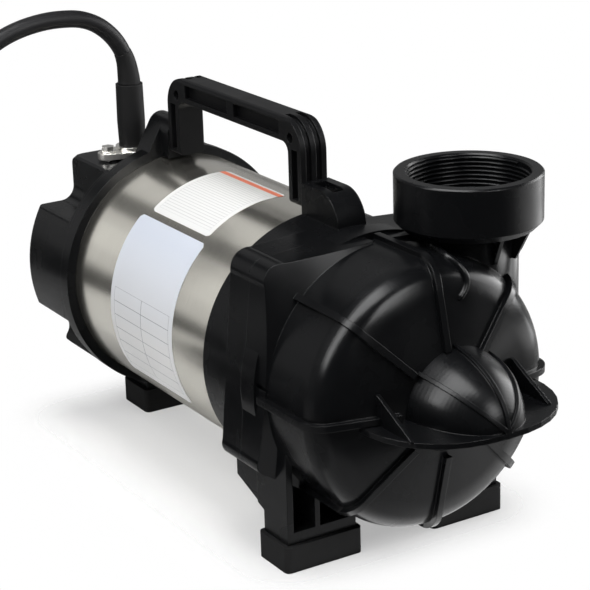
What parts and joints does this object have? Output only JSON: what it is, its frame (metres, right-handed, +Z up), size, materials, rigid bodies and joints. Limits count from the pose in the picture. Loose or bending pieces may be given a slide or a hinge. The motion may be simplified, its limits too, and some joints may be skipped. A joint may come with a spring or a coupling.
{
  "type": "submersible sump pump",
  "caption": "Portable submersible sump pump lying on rubber feet: stainless motor can, ribbed black pump casing with threaded discharge and suction visor, carrying handle and coiled cord.",
  "frame": {"origin": "bottom centre of the pump's bounding box without its cord, on the floor under the feet", "axes": "-Y is the suction end and +Y the motor's back, along the shaft; +Z up; +X to the discharge's side"},
  "size_m": [0.5251, 0.517, 0.3441],
  "materials": {
    "black_casing": "satin black glass-filled moulding",
    "black_moulded": "satin black moulding",
    "steel_can": "brushed stainless steel, grain round the can",
    "zinc": "bright zinc-plated steel",
    "ground_steel": "ground steel",
    "rubber_black": "matt black rubber",
    "cord_black": "smooth black cord jacket",
    "iron": "plain iron",
    "copper": "varnished copper wire",
    "brass": "plain brass",
    "strap": "woven hook-and-loop strap",
    "impeller_black": "dark moulding",
    "carbon": "lapped carbon",
    "ceramic": "lapped ceramic",
    "white_shell": "plain white shell"
  },
  "bodies": {
    "pump": {"pump_casing": "black_casing", "discharge_collar": "black_casing", "suction_visor": "black_casing", "backing_plate": "iron", "casing_o_ring": "rubber_black", "motor_bracket": "black_casing", "casing_bolts": "zinc", "motor_can": "steel_can", "front_gasket": "rubber_black", "rear_gasket": "rubber_black", "rear_cover": "black_casing", "tie_bolts": "zinc", "handle": "black_moulded", "handle_screws": "zinc", "left_foot": "rubber_black", "right_foot": "rubber_black", "rear_foot": "rubber_black", "gland_plate": "zinc", "gland_bolts": "zinc", "cable_boot": "rubber_black", "power_cord": "cord_black", "cord_coil": "cord_black", "cord_tail": "cord_black", "coil_tie": "strap", "plug_body": "rubber_black", "plug_blades": "brass", "stator_core": "iron", "stator_windings": "copper", "thermal_protector": "black_moulded", "run_capacitor": "white_shell", "seal_seat": "ceramic", "lip_seal": "rubber_black", "front_bearing_outer": "ground_steel", "rear_bearing_outer": "ground_steel"},
    "rotor": {"rotor_core": "iron", "shaft": "ground_steel", "impeller": "impeller_black", "impeller_nut": "brass", "seal_ring": "carbon", "seal_bellows": "rubber_black", "front_bearing_inner": "ground_steel", "rear_bearing_inner": "ground_steel"},
    "front_cage": {"front_bearing_balls": "ground_steel"},
    "rear_cage": {"rear_bearing_balls": "ground_steel"}
  },
  "joints": [
    {"name": "rotor_spin", "type": "hinge", "parent": "pump", "child": "rotor", "pos_m": [-0.00555, -0.0035, 0.127], "axis": [0, -1, 0], "continuous": true},
    {"name": "front_cage_spin", "type": "hinge", "parent": "pump", "child": "front_cage", "pos_m": [-0.00555, -0.0425, 0.127], "axis": [0, -1, 0], "continuous": true},
    {"name": "rear_cage_spin", "type": "hinge", "parent": "pump", "child": "rear_cage", "pos_m": [-0.00555, 0.202, 0.127], "axis": [0, -1, 0], "continuous": true}
  ],
  "couplings": [
    {"joint": "front_cage_spin", "follows": "rotor_spin", "ratio": 0.38298},
    {"joint": "rear_cage_spin", "follows": "rotor_spin", "ratio": 0.384}
  ]
}
